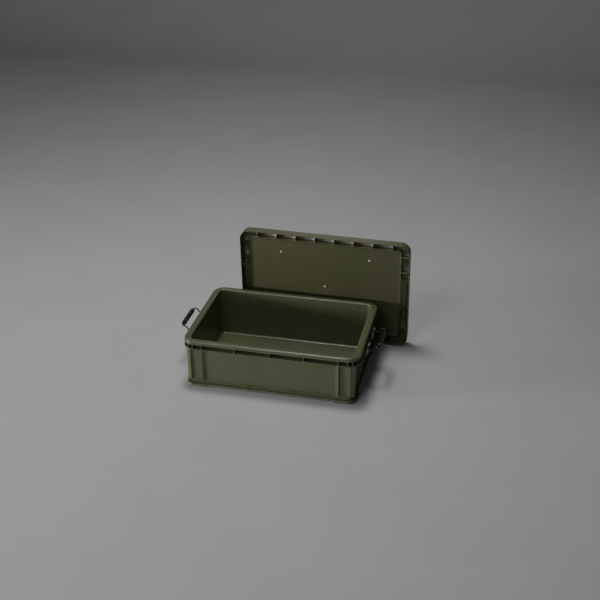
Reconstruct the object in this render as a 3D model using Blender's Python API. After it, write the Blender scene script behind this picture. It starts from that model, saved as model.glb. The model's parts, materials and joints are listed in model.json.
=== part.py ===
"""Olive storage tote with a lift-off lid and two locking swing handles, in metres, +Z up.

The origin is on the floor under the middle of the tote. The tote's long side lies along X.
The lid stands on its long edge behind the tote (+Y) and leans on the back rim.
"""

import math

import bmesh
import bpy
from mathutils import Matrix, Vector

# Driving dimensions of the tote
LENGTH = 0.540
WIDTH = 0.360
HEIGHT = 0.156
LIP_WIDTH = 0.0196
LIP_WIDTH_END = 0.0220
LIP_DROP = 0.012
LIP_CORNER = 0.038
LIP_EDGE = 0.003
INNER_CORNER = 0.018
WALL = 0.003
FLOOR_TOP = 0.003
FOOT_HALF_X = 0.2450
FOOT_HALF_Y = 0.1465
WEB_X = (0.105, 0.208, 0.236, 0.2497)
WEB_Y = (0.032, 0.075, 0.120)

# Flange under the lip and the skin below it
FLANGE_TOP = 0.1305
FLANGE_THICK = 0.0025
FLANGE_PROUD = 0.0006
FLANGE_CORNER = 0.040
FLANGE_ROOT = (0.2490, 0.1588, 0.018)
SKIN_HALF_X = 0.2565
SKIN_HALF_Y = 0.1752
SKIN_CORNER = 0.014
SKIN_THICK = 0.0026
SKIN_BOTTOM = 0.023
BASE_STEP = 0.004
BASE_BOTTOM = 0.0055
RIB = 0.0025
END_RIB_Y = (0.016, 0.074, 0.112)
END_RIB_X = (0.2475, 0.2562)
END_POST_Y = (0.1468, 0.1493)
END_CUT_X = (0.2532, 0.2650)
END_CUT_Y = 0.148
HOLLOW_RIB_X = (0.070, 0.140, 0.209)
HOLLOW_RIB_Y = (0.1440, 0.1690)
HOLLOW_RIB_Z = (0.0075, 0.0400)
TAB_X = (0.0630, 0.0750)
TAB_Y = (0.1675, 0.1722)
TAB_Z = (0.0135, 0.0178)

# Plans (x, y) in one quarter of the tote: the sloped rib, and the strip at the corner post
SLOPED_RIB = ((0.1965, 0.1715), (0.1975, 0.1738), (0.2075, 0.1792), (0.2105, 0.1792), (0.2150, 0.1738),
              (0.2155, 0.1715))
CORNER_STRIP = ((0.2375, 0.1715), (0.2380, 0.1738), (0.2440, 0.1778), (0.2500, 0.1752), (0.2558, 0.1712),
                (0.2570, 0.1650), (0.2540, 0.1640), (0.2480, 0.1690))

# Ledge round the foot of the skin, and the corner feet: half sizes, corner radius and heights
LEDGE = (0.2568, 0.1762, 0.022)
LEDGE_ROOT = (0.2480, 0.1680, 0.010)
LEDGE_Z = (0.0020, 0.0078)
FOOT = (0.2635, 0.1795, 0.026)
FOOT_ROOT = (0.2462, 0.1655, 0.009)
FOOT_TOP = 0.0070
FOOT_GAP_X = 0.195
FOOT_GAP_Y = 0.118

# Handles: a 4 mm wire bail with a moulded grip, hinged in rolled steel knuckles
AXIS_X = 0.2755
AXIS_Z = 0.134
WIRE = 0.002
ARM_Y = 0.057
PIN_END_Y = 0.038
REACH = 0.0315
GRIP_LENGTH = 0.092
GRIP_WIDTH = 0.0175
GRIP_THICK = 0.0130
GRIP_BUMPS = 5
KNUCKLE_BORE = 0.00235
BRACKET_THICK = 0.0015
BRACKET_Y = 0.046
BRACKET_WIDE = 0.013
BRACKET_BOTTOM = 0.103
RIVET_HEIGHTS = (0.1085, 0.1205)
RIVET_HOLE = 0.0022
PAD_FACE_X = 0.2713
PAD_THICK = 0.0033
PAD_Y = (0.0375, 0.0605)
PAD_BOTTOM = 0.100
PAD_RIB_Y = (0.0382, 0.0573)
LUG_FACE_X = 0.2733
LUG_Y = (0.0546, 0.0600)
LUG_Z = (0.1190, 0.1275)

# Lid, in its own frame: U along its length, V across it, W from the skirt edge to the top
LID_LENGTH = 0.5455
LID_WIDTH = 0.3645
LID_DEPTH = 0.031
LID_CORNER = 0.032
LID_WALL = 0.0022
LID_PANEL = 0.018
BORDER_LONG = 0.025
BORDER_SHORT = 0.028
NOTCH_HALF = 0.053
NOTCH_RIM = 0.0105
NOTCH_WALL = 0.0015
SLOT_RIB_V = (0.0106, 0.0124)
SLOT_END_V = 0.0400
LONG_RIBS = (0.031, 0.093, 0.155, 0.217)
SHORT_RIBS = (0.080, 0.133)

# How the lid leans on the back rim
LID_X = 0.0887
LID_Y = 0.1913
LID_YAW = math.radians(-1.2)
LID_LEAN = math.radians(2.7)

CORNER_STEPS = 6
SIDES = (("left", -1), ("right", 1))


def material(name, color, roughness, metallic=0.0):
    made = bpy.data.materials.new(name)
    made.use_nodes = True
    shader = made.node_tree.nodes["Principled BSDF"]
    shader.inputs["Base Color"].default_value = (*color, 1.0)
    shader.inputs["Roughness"].default_value = roughness
    shader.inputs["Metallic"].default_value = metallic
    return made


def add_object(name, mesh_builder, finish=None):
    """Makes an object from a bmesh, with its faces turned outwards."""
    bmesh.ops.recalc_face_normals(mesh_builder, faces=mesh_builder.faces)
    mesh = bpy.data.meshes.new(name)
    mesh_builder.to_mesh(mesh)
    mesh_builder.free()
    made = bpy.data.objects.new(name, mesh)
    bpy.context.scene.collection.objects.link(made)
    if finish:
        mesh.materials.append(finish)
    return made


def combine(target, tool, operation):
    """Joins the tool to the target, or cuts it out, and removes the tool."""
    modifier = target.modifiers.new(operation.lower(), "BOOLEAN")
    modifier.operation = operation
    modifier.object = tool
    modifier.solver = "EXACT"
    graph = bpy.context.evaluated_depsgraph_get()
    mesh = bpy.data.meshes.new_from_object(target.evaluated_get(graph))
    target.modifiers.clear()
    target.data = mesh
    bpy.data.objects.remove(tool)


def shade(obj, angle=35.0):
    obj.data.shade_smooth()
    obj.data.set_sharp_from_angle(angle=math.radians(angle))


def rounded_ring(builder, half_x, half_y, radius, z):
    """The vertices of a rounded rectangle, counter-clockwise from the corner at +X +Y."""
    ring = []
    for corner in range(4):
        sign_x = 1 if corner in (0, 3) else -1
        sign_y = 1 if corner in (0, 1) else -1
        centre = Vector((sign_x * (half_x - radius), sign_y * (half_y - radius), z))
        for step in range(CORNER_STEPS + 1):
            turn = math.pi / 2 * (corner + step / CORNER_STEPS)
            ring.append(builder.verts.new(centre + radius * Vector((math.cos(turn), math.sin(turn), 0))))
    return ring


def bridge(builder, first, second):
    count = len(first)
    for i in range(count):
        j = (i + 1) % count
        builder.faces.new((first[i], first[j], second[j], second[i]))


def lofted(name, sections, finish=None, hollow=False):
    """A solid through rounded rectangles (half_x, half_y, radius, z).

    A hollow one is a closed band; any other is capped at its first and last section.
    """
    builder = bmesh.new()
    rings = [rounded_ring(builder, *section) for section in sections]
    for first, second in zip(rings, rings[1:]):
        bridge(builder, first, second)
    if hollow:
        bridge(builder, rings[-1], rings[0])
    else:
        builder.faces.new(rings[0])
        builder.faces.new(rings[-1])
    return add_object(name, builder, finish)


def boxes(name, extents):
    """One object of separate boxes, each ((x, x), (y, y), (z, z))."""
    builder = bmesh.new()
    for extent in extents:
        low = Vector(min(pair) for pair in extent)
        high = Vector(max(pair) for pair in extent)
        place = Matrix.Translation((low + high) / 2) @ Matrix.Diagonal((*(high - low), 1.0))
        bmesh.ops.create_cube(builder, size=1.0, matrix=place)
    return add_object(name, builder)


def mirrored(extents, flip_x=True, flip_y=True):
    """The extents with their mirror images across the tote's two middle planes."""
    found = []
    for xs, ys, zs in extents:
        for sign_x in (1, -1) if flip_x else (1,):
            for sign_y in (1, -1) if flip_y else (1,):
                found.append(([sign_x * v for v in xs], [sign_y * v for v in ys], zs))
    return found


def cylinder(name, radius, depth, place, steps=12):
    builder = bmesh.new()
    bmesh.ops.create_cone(
        builder, cap_ends=True, segments=steps, radius1=radius, radius2=radius, depth=depth, matrix=place
    )
    return add_object(name, builder)


def outer_tub(finish):
    """The outside of the tub and its turned-down lip, solid until cavity() is cut out."""
    half_x = LENGTH / 2
    half_y = WIDTH / 2
    in_x = half_x - LIP_WIDTH_END
    in_y = half_y - LIP_WIDTH
    lip_bottom = HEIGHT - LIP_DROP
    under_lip = HEIGHT - WALL
    sections = [
        (FOOT_HALF_X - 0.008, FOOT_HALF_Y - 0.008, 0.008, FLOOR_TOP - WALL),
        (FOOT_HALF_X + 0.001, FOOT_HALF_Y + 0.001, 0.012, FLOOR_TOP - WALL + 0.003),
        (FOOT_HALF_X + WALL, FOOT_HALF_Y + WALL, 0.015, FLOOR_TOP + 0.005),
        (in_x + WALL, in_y + WALL - 0.0005, INNER_CORNER + WALL, under_lip),
        (half_x - 0.0030, half_y - 0.0030, LIP_CORNER - 0.003, under_lip),
        (half_x - 0.0026, half_y - 0.0026, LIP_CORNER - 0.003, lip_bottom),
        (half_x, half_y, LIP_CORNER, lip_bottom),
    ]
    for step in range(4):
        turn = math.pi / 2 * step / 3
        inset = LIP_EDGE * (1 - math.cos(turn))
        rise = LIP_EDGE * math.sin(turn)
        sections.append((half_x - inset, half_y - inset, LIP_CORNER - inset, HEIGHT - LIP_EDGE + rise))
    return lofted("tote_body", sections, finish)


def cavity():
    """The drafted inside of the tub, with a small fillet at the floor and an eased top edge."""
    in_x = LENGTH / 2 - LIP_WIDTH_END
    in_y = WIDTH / 2 - LIP_WIDTH
    return lofted(
        "cavity",
        [
            (in_x + 0.0036, in_y + 0.0036, INNER_CORNER + 0.003, HEIGHT + 0.0014),
            (in_x + 0.0007, in_y + 0.0007, INNER_CORNER, HEIGHT - 0.0008),
            (in_x, in_y, INNER_CORNER, HEIGHT - 0.0026),
            (FOOT_HALF_X, FOOT_HALF_Y, 0.012, FLOOR_TOP + 0.006),
            (FOOT_HALF_X - 0.0018, FOOT_HALF_Y - 0.0018, 0.010, FLOOR_TOP + 0.0018),
            (FOOT_HALF_X - 0.006, FOOT_HALF_Y - 0.006, 0.007, FLOOR_TOP),
        ],
    )


def flange():
    """The stacking flange round the wall, flush with the lip above it."""
    out_x = LENGTH / 2 + FLANGE_PROUD
    out_y = WIDTH / 2 + FLANGE_PROUD
    low = FLANGE_TOP - FLANGE_THICK
    return lofted(
        "flange",
        [
            (*FLANGE_ROOT, low),
            (out_x, out_y, FLANGE_CORNER, low),
            (out_x, out_y, FLANGE_CORNER, FLANGE_TOP - 0.0009),
            (out_x - 0.0009, out_y - 0.0009, FLANGE_CORNER - 0.0009, FLANGE_TOP),
            (*FLANGE_ROOT, FLANGE_TOP),
        ],
        hollow=True,
    )


def skin():
    """The outer skin under the flange, stepped in at its foot to nest in a lid below."""
    top = FLANGE_TOP - 0.0012
    foot_x = SKIN_HALF_X - 0.0025
    foot_y = SKIN_HALF_Y - 0.0012
    base_x = foot_x - BASE_STEP
    base_y = foot_y - BASE_STEP
    thick = SKIN_THICK
    corner = SKIN_CORNER
    return lofted(
        "skin",
        [
            (SKIN_HALF_X, SKIN_HALF_Y, corner, top),
            (foot_x, foot_y, corner, SKIN_BOTTOM),
            (foot_x - 0.0008, foot_y - 0.0008, corner, SKIN_BOTTOM - 0.0008),
            (base_x, base_y, corner, SKIN_BOTTOM - 0.0018),
            (base_x - 0.0006, base_y - 0.0006, corner, BASE_BOTTOM + 0.0012),
            (base_x - 0.0018, base_y - 0.0018, corner - 0.001, BASE_BOTTOM),
            (base_x - thick, base_y - thick, corner - 0.002, BASE_BOTTOM),
            (base_x - thick, base_y - thick, corner - 0.002, SKIN_BOTTOM - 0.001),
            (foot_x - thick, foot_y - thick, corner - 0.002, SKIN_BOTTOM + 0.002),
            (SKIN_HALF_X - thick, SKIN_HALF_Y - thick, corner - 0.002, top),
        ],
        hollow=True,
    )


def end_opening():
    """What is cut from the skin at each end, so that the tub's own wall is the end wall."""
    heights = (SKIN_BOTTOM + 0.004, FLANGE_TOP - FLANGE_THICK - 0.002)
    return boxes("end_opening", mirrored([(END_CUT_X, (-END_CUT_Y, END_CUT_Y), heights)], flip_y=False))


def end_ribs():
    """Upright ribs on the end walls, and the returns that close the corner posts."""
    top = FLANGE_TOP - 0.0010
    low = SKIN_BOTTOM + 0.001
    extents = [(END_RIB_X, (y, y + RIB), (low, top)) for y in END_RIB_Y]
    extents.append(((END_RIB_X[0], SKIN_HALF_X - 0.0005), END_POST_Y, (low, top)))
    return boxes("end_ribs", mirrored(extents))


def lip_edge_y(x):
    """How far out the lip reaches at a place along its long side."""
    half_y = WIDTH / 2
    past = max(0.0, x - (LENGTH / 2 - LIP_CORNER))
    return half_y - LIP_CORNER + math.sqrt(LIP_CORNER**2 - past**2)


def lip_webs():
    """Webs that stand on the flange and carry the lip."""
    heights = (FLANGE_TOP - 0.0015, HEIGHT - 0.0015)
    half = RIB / 2
    root_y = 0.1558
    root_x = 0.2495
    edge_x = LENGTH / 2 - 0.0003
    long_side = [((x - half, x + half), (root_y, lip_edge_y(x + half) - 0.0008), heights) for x in WEB_X]
    middle = [((-half, half), (root_y, lip_edge_y(0) - 0.0008), heights)]
    short_side = [((root_x, edge_x), (y - half, y + half), heights) for y in WEB_Y]
    return boxes("lip_webs", mirrored(long_side) + mirrored(middle, flip_x=False) + mirrored(short_side))


def prisms(name, outlines, low, high):
    """Upright prisms on outlines of (x, y), one in each quarter of the tote."""
    builder = bmesh.new()
    for outline in outlines:
        for sign_x in (1, -1):
            for sign_y in (1, -1):
                corners = [(sign_x * x, sign_y * y) for x, y in outline]
                ends = [[builder.verts.new((x, y, z)) for x, y in corners] for z in (low, high)]
                bridge(builder, *ends)
                builder.faces.new(ends[0])
                builder.faces.new(ends[1])
    return add_object(name, builder)


def side_ribs():
    """The sloped ribs and corner strips that stand out from the long sides."""
    return prisms("side_ribs", (SLOPED_RIB, CORNER_STRIP), SKIN_BOTTOM + 0.0006, FLANGE_TOP - 0.0011)


def hollow_ribs():
    """Stiffeners between the tub and the skin, seen from below."""
    half = RIB / 2
    sides = mirrored([((x - half, x + half), HOLLOW_RIB_Y, HOLLOW_RIB_Z) for x in HOLLOW_RIB_X])
    middle = mirrored([((-half, half), HOLLOW_RIB_Y, HOLLOW_RIB_Z)], flip_x=False)
    return boxes("hollow_ribs", sides + middle)


def base_details():
    """Small catch tabs on the base band of the long sides."""
    return boxes("base_details", mirrored([(TAB_X, TAB_Y, TAB_Z)]))


def band(name, root, half_x, half_y, corner, low, high):
    """A rounded band round the foot of the skin, with eased outer edges."""
    return lofted(
        name,
        [
            (*root, low),
            (half_x - 0.0012, half_y - 0.0012, corner, low),
            (half_x, half_y, corner, low + 0.0012),
            (half_x, half_y, corner, high - 0.0012),
            (half_x - 0.0012, half_y - 0.0012, corner, high),
            (*root, high),
        ],
        hollow=True,
    )


def feet():
    """The four corner feet: a band round the base with its middle stretches taken away."""
    made = band("feet", FOOT_ROOT, *FOOT, 0.0, FOOT_TOP)
    gaps = [((-FOOT_GAP_X, FOOT_GAP_X), (-0.2, 0.2), (-0.01, 0.02)),
            ((-0.3, 0.3), (-FOOT_GAP_Y, FOOT_GAP_Y), (-0.02, 0.03))]
    combine(made, boxes("foot_gaps", gaps), "DIFFERENCE")
    return made


def handle_pads():
    """Pads that carry the handle brackets, with a lug on each that stops the bail's arm."""
    plate_x = (PAD_FACE_X - PAD_THICK, PAD_FACE_X)
    top = FLANGE_TOP - 0.0007
    plates = [(plate_x, PAD_Y, (PAD_BOTTOM, top))]
    reach = (END_RIB_X[0] + 0.0005, PAD_FACE_X - 0.001)
    stiffeners = [(reach, (y, y + RIB), (PAD_BOTTOM + 0.0006, top - 0.0005)) for y in PAD_RIB_Y]
    lugs = [((PAD_FACE_X - 0.001, LUG_FACE_X), LUG_Y, LUG_Z)]
    made = boxes("handle_pads", mirrored(plates))
    combine(made, boxes("stiffeners", mirrored(stiffeners)), "UNION")
    combine(made, boxes("lugs", mirrored(lugs)), "UNION")
    return made


def along_x(x, y, z):
    """A placement that turns a tool's Z axis to X."""
    return Matrix.Translation((x, y, z)) @ Matrix.Rotation(math.pi / 2, 4, "Y")


def tote_body(finish):
    body = outer_tub(finish)
    shell = skin()
    combine(shell, end_opening(), "DIFFERENCE")
    ledge = band("ledge", LEDGE_ROOT, *LEDGE, *LEDGE_Z)
    for piece in (shell, flange(), end_ribs(), side_ribs(), hollow_ribs(), base_details(), ledge, feet(),
                  lip_webs(), handle_pads()):
        combine(body, piece, "UNION")
    combine(body, cavity(), "DIFFERENCE")
    for _, side in SIDES:
        for y in (-BRACKET_Y, BRACKET_Y):
            for z in RIVET_HEIGHTS:
                hole = cylinder("hole", RIVET_HOLE, 0.007, along_x(side * (PAD_FACE_X - 0.0015), y, z))
                combine(body, hole, "DIFFERENCE")
    shade(body)
    return body


def lid_frame():
    """Turns the lid's own frame (U, V, W) into the world's, standing behind the tote."""
    along = Vector((math.cos(LID_YAW), math.sin(LID_YAW), 0))
    away = Vector((-math.sin(LID_YAW), math.cos(LID_YAW), 0))
    rise = Vector((0, 0, math.cos(LID_LEAN))) - away * math.sin(LID_LEAN)
    outward = along.cross(rise)
    placed = Matrix((along, rise, -outward)).transposed().to_4x4()
    foot = Vector((LID_X, LID_Y, 0)) + rise * (LID_WIDTH / 2)
    placed.translation = foot
    return placed


def lid(finish):
    half_u = LID_LENGTH / 2
    half_v = LID_WIDTH / 2
    roof = LID_DEPTH - 0.0025
    panel_top = LID_PANEL + 0.0023
    in_u = half_u - BORDER_SHORT
    in_v = half_v - BORDER_LONG
    corner = LID_CORNER
    sections = [
        (in_u - 0.0010, in_v - 0.0010, 0.010, LID_PANEL),
        (in_u, in_v, 0.011, LID_PANEL + 0.0008),
        (in_u, in_v, 0.011, roof),
        (half_u - LID_WALL - 0.0014, half_v - LID_WALL - 0.0014, corner - 0.003, roof),
        (half_u - LID_WALL, half_v - LID_WALL, corner - 0.002, 0.0),
        (half_u, half_v, corner, 0.0),
        (half_u - 0.0010, half_v - 0.0010, corner - 0.001, LID_DEPTH - 0.0030),
    ]
    for step in range(1, 4):
        turn = math.pi / 2 * step / 3
        inset = 0.0010 + 0.0030 * (1 - math.cos(turn))
        height = LID_DEPTH - 0.003 * (1 - math.sin(turn))
        sections.append((half_u - inset, half_v - inset, corner - inset, height))
    sections += [
        (in_u + 0.0010, in_v + 0.0010, 0.012, LID_DEPTH),
        (in_u - 0.0023, in_v - 0.0023, 0.0095, LID_DEPTH - 0.0008),
        (in_u - 0.0027, in_v - 0.0027, 0.009, panel_top),
    ]
    made = lofted("lid", sections, finish)

    block_half = NOTCH_HALF + 0.0024
    block = ((in_u - 0.0020, half_u - NOTCH_RIM + NOTCH_WALL), (-block_half, block_half),
             (LID_PANEL + 0.0001, LID_DEPTH - 0.0004))
    combine(made, boxes("notch_blocks", mirrored([block], flip_y=False)), "UNION")
    cut = ((in_u - 0.0040, half_u - NOTCH_RIM), (-NOTCH_HALF, NOTCH_HALF),
           (panel_top + 0.0001, LID_DEPTH + 0.01))
    combine(made, boxes("notch_cuts", mirrored([cut], flip_y=False)), "DIFFERENCE")

    rib_w = (LID_PANEL - 0.0016, roof + 0.0006)
    half_rib = 0.0011
    extents = [((u - half_rib, u + half_rib), (in_v - 0.0012, half_v - 0.0016), rib_w) for u in LONG_RIBS]
    extents += [((in_u - 0.0012, half_u - 0.0016), (v - half_rib, v + half_rib), rib_w) for v in SHORT_RIBS]
    slot = (half_u - NOTCH_RIM + NOTCH_WALL / 2, half_u - 0.0017)
    slot_w = (LID_PANEL + 0.0010, roof + 0.0006)
    extents += [(slot, SLOT_RIB_V, slot_w), (slot, (SLOT_END_V, NOTCH_HALF + NOTCH_WALL), slot_w)]
    combine(made, boxes("lid_ribs", mirrored(extents)), "UNION")

    made.matrix_world = lid_frame()
    shade(made)
    return made


def smooth_path(points, steps):
    """Catmull-Rom points through a list of places."""
    ends = [points[0] * 2 - points[1], *points, points[-1] * 2 - points[-2]]
    found = []
    for i in range(1, len(ends) - 2):
        a, b, c, d = ends[i - 1 : i + 3]
        for step in range(steps):
            t = step / steps
            found.append(0.5 * (2 * b + (c - a) * t + (2 * a - 5 * b + 4 * c - d) * t**2
                                + (3 * b - a - 3 * c + d) * t**3))
    found.append(points[-1])
    return found


def bail_path(side):
    """Half the bail, from its pin end to the middle of the grip, about the hinge axis.

    The arm drops from the pin, bends out in a shallow U and rises to the grip.
    """
    arm = [(0.0005, -0.0065), (0.0026, -0.0120), (0.0075, -0.0150), (0.0120, -0.0120), (0.0160, -0.0068),
           (0.0210, -0.0018), (0.0260, -0.0001)]
    points = [Vector((0, PIN_END_Y, 0)), Vector((0, PIN_END_Y + 0.006, 0)), Vector((0, ARM_Y - 0.006, 0)),
              Vector((0.0001, ARM_Y - 0.0012, -0.0018))]
    points += [Vector((side * x, ARM_Y, z)) for x, z in arm]
    bend = [(REACH - 0.0016, ARM_Y - 0.0014), (REACH, ARM_Y - 0.0060), (REACH, GRIP_LENGTH / 4), (REACH, 0)]
    points += [Vector((side * x, y, 0)) for x, y in bend]
    return smooth_path(points, 2)


def bail(name, side, finish):
    half = bail_path(side)
    other = [Vector((p.x, -p.y, p.z)) for p in reversed(half[:-1])]
    curve = bpy.data.curves.new(name, "CURVE")
    curve.dimensions = "3D"
    curve.bevel_depth = WIRE
    curve.bevel_resolution = 2
    curve.use_fill_caps = True
    spline = curve.splines.new("POLY")
    path = half + other
    spline.points.add(len(path) - 1)
    for point, place in zip(spline.points, path):
        point.co = (*place, 1.0)
    curve.materials.append(finish)
    made = bpy.data.objects.new(name, curve)
    made.location = (side * AXIS_X, 0, AXIS_Z)
    bpy.context.scene.collection.objects.link(made)
    return made


def grip(name, side, finish):
    """A moulded grip with finger bumps in two rows, bored through for the wire."""
    builder = bmesh.new()
    stations = 5 * GRIP_BUMPS
    around = 12
    rings = []
    for i in range(stations + 1):
        share = i / stations
        y = GRIP_LENGTH * (share - 0.5)
        end = min(1.0, 0.72 + 12.0 * min(share, 1 - share))
        bump = 0.5 - 0.5 * math.cos(2 * math.pi * GRIP_BUMPS * share)
        wide = GRIP_WIDTH / 2 * end * (0.84 + 0.16 * bump)
        thick = GRIP_THICK / 2 * end * (0.84 + 0.16 * bump)
        ring = []
        for j in range(around):
            turn = 2 * math.pi * j / around
            across = math.copysign(abs(math.cos(turn)) ** 0.8, math.cos(turn))
            up = math.copysign(abs(math.sin(turn)) ** 0.8, math.sin(turn))
            ring.append(builder.verts.new((wide * across, y, thick * up)))
        rings.append(ring)
    for first, second in zip(rings, rings[1:]):
        bridge(builder, first, second)
    builder.faces.new(rings[0])
    builder.faces.new(rings[-1])
    made = add_object(name, builder, finish)
    bore = cylinder("bore", WIRE + 0.0004, GRIP_LENGTH + 0.01, Matrix.Rotation(math.pi / 2, 4, "X"), 12)
    combine(made, bore, "DIFFERENCE")
    made.data.transform(Matrix.Translation((side * REACH, 0, 0)))
    made.location = (side * AXIS_X, 0, AXIS_Z)
    shade(made, 50)
    return made


def bracket(name, side, y, finish):
    """A steel plate whose top is rolled outwards into the knuckle."""
    outer = KNUCKLE_BORE + BRACKET_THICK
    steps = 16
    sweep = math.radians(325)
    turns = [math.pi - sweep * i / steps for i in range(steps + 1)]
    outline = [(-outer, BRACKET_BOTTOM - AXIS_Z)]
    outline += [(outer * math.cos(t), outer * math.sin(t)) for t in turns]
    outline += [(KNUCKLE_BORE * math.cos(t), KNUCKLE_BORE * math.sin(t)) for t in reversed(turns)]
    outline.append((-KNUCKLE_BORE, BRACKET_BOTTOM - AXIS_Z))
    builder = bmesh.new()
    corners = [builder.verts.new((side * x, -BRACKET_WIDE / 2, z)) for x, z in outline]
    face = builder.faces.new(corners)
    pulled = bmesh.ops.extrude_face_region(builder, geom=[face])["geom"]
    moved = [item for item in pulled if isinstance(item, bmesh.types.BMVert)]
    bmesh.ops.translate(builder, verts=moved, vec=(0, BRACKET_WIDE, 0))
    made = add_object(name, builder, finish)
    for z in RIVET_HEIGHTS:
        hole = cylinder("hole", RIVET_HOLE, 0.01, along_x(-side * outer, 0, z - AXIS_Z))
        combine(made, hole, "DIFFERENCE")
    made.location = (side * AXIS_X, y, AXIS_Z)
    shade(made)
    return made


def rivet_mesh(finish):
    """A rivet along +X from the bracket's outer face: domed head, shank and inner head."""
    plate = BRACKET_THICK + 0.0003
    inside = plate + 0.0003 + PAD_THICK + 0.0004
    profile = [(0.0017, 0.0), (0.0014, 0.0017), (0.0007, 0.0030), (0.0003, 0.0034), (0.0003, 0.00185),
               (-inside, 0.00185), (-inside, 0.0030), (-inside - 0.0011, 0.0026), (-inside - 0.0014, 0.0)]
    builder = bmesh.new()
    spine = [builder.verts.new((x, 0, r)) for x, r in profile]
    edges = [builder.edges.new(pair) for pair in zip(spine, spine[1:])]
    bmesh.ops.spin(builder, geom=spine + edges, cent=(0, 0, 0), axis=(1, 0, 0), angle=2 * math.pi, steps=12)
    bmesh.ops.remove_doubles(builder, verts=builder.verts, dist=0.00001)
    bmesh.ops.recalc_face_normals(builder, faces=builder.faces)
    mesh = bpy.data.meshes.new("rivet")
    builder.to_mesh(mesh)
    builder.free()
    mesh.materials.append(finish)
    mesh.shade_smooth()
    mesh.set_sharp_from_angle(angle=math.radians(40))
    return mesh


def main():
    for obj in list(bpy.data.objects):
        bpy.data.objects.remove(obj)
    olive = material("olive_plastic", (0.085, 0.086, 0.044), 0.42)
    olive_lid = material("olive_lid_plastic", (0.082, 0.082, 0.042), 0.42)
    black_wire = material("black_coated_wire", (0.018, 0.018, 0.020), 0.35)
    black_grip = material("black_grip_plastic", (0.014, 0.014, 0.016), 0.38)
    plated = material("zinc_plated_steel", (0.55, 0.56, 0.58), 0.32, 1.0)
    rivet_steel = material("rivet_steel", (0.62, 0.63, 0.65), 0.28, 1.0)

    tote_body(olive)
    lid(olive_lid)
    rivet = rivet_mesh(rivet_steel)
    plate_face = AXIS_X - KNUCKLE_BORE
    for side_name, side in SIDES:
        bail(f"{side_name}_bail", side, black_wire)
        grip(f"{side_name}_grip", side, black_grip)
        for end_name, end in (("front", -1), ("back", 1)):
            bracket(f"{side_name}_{end_name}_bracket", side, end * BRACKET_Y, plated)
            for level_name, z in zip(("lower", "upper"), RIVET_HEIGHTS):
                made = bpy.data.objects.new(f"{side_name}_{end_name}_{level_name}_rivet", rivet)
                made.location = (side * plate_face, end * BRACKET_Y, z)
                made.rotation_euler = (0, 0, 0 if side > 0 else math.pi)
                bpy.context.scene.collection.objects.link(made)


main()
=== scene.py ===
import json
import math

import bmesh
import bpy
from mathutils import Matrix, Vector


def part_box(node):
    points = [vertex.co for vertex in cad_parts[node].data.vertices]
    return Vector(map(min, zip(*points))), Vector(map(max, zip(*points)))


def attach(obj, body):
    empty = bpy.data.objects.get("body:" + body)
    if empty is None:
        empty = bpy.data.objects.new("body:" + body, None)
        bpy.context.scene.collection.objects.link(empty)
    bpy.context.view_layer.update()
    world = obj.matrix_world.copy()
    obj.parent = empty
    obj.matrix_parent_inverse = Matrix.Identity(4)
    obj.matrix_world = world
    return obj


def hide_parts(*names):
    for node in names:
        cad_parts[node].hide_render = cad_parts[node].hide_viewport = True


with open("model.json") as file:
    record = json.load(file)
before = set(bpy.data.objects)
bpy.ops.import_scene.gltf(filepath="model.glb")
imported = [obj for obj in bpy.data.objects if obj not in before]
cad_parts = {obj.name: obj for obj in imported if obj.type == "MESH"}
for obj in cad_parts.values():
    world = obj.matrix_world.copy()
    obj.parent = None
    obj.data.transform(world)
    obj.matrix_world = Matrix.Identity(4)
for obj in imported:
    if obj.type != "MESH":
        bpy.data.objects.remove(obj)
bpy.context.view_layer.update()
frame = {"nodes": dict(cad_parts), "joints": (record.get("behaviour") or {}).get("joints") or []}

# Driving sizes of the tote, worked out from the CAD node's box and the flange and lug that set it
FLANGE_PROUD = 0.0006
LUG_PROUD = 0.0033
tote_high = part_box("tote_body")[1]
HALF_X = tote_high.x - LUG_PROUD
HALF_Y = tote_high.y - FLANGE_PROUD
HEIGHT = tote_high.z

# Tote: lip, inner tub, flange, outer skin and its ribs
LIP_WIDTH = 0.0196
LIP_WIDTH_END = 0.0220
LIP_DROP = 0.012
LIP_CORNER = 0.038
LIP_BEAD = 0.0014
LIP_SETBACK = 0.0010
RIM_ROUND = 0.0042
INNER_CORNER = 0.018
WALL = 0.003
FLOOR_TOP = 0.003
FOOT_HALF_X = 0.2450
FOOT_HALF_Y = 0.1465
FLOOR_FILLET = 0.006
WEB_X = (0.105, 0.208, 0.236, 0.2497)
WEB_Y = (0.032, 0.075, 0.120)
WEB_ROOT_X = 0.2495
WEB_ROOT_Y = 0.1558
WEB_INSET = 0.0016
FLANGE_TOP = 0.1305
FLANGE_THICK = 0.0025
FLANGE_CORNER = 0.040
FLANGE_ROOT = (0.2490, 0.1588, 0.018)
SKIN_HALF_X = 0.2565
SKIN_HALF_Y = 0.1742
SKIN_CORNER = 0.014
SKIN_THICK = 0.0026
SKIN_TAPER_X = 0.0025
SKIN_TAPER_Y = 0.0012
SKIN_BOTTOM = 0.023
BASE_STEP = 0.004
BASE_BOTTOM = 0.0055
RIB = 0.0025
END_RIB_Y = (0.016, 0.074, 0.112)
END_RIB_X = (0.2475, 0.2562)
END_POST_Y = (0.1468, 0.1493)
END_CUT_X = (0.2532, 0.265)
END_CUT_Y = (-0.148, 0.148)
HOLLOW_RIB_X = (0.070, 0.140, 0.209)
HOLLOW_RIB_Y = (0.1440, 0.1690)
HOLLOW_RIB_Z = (0.0075, 0.0400)
TAB_X = (0.0630, 0.0750)
TAB_Y = (0.1675, 0.1722)
TAB_Z = (0.0135, 0.0178)

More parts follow.
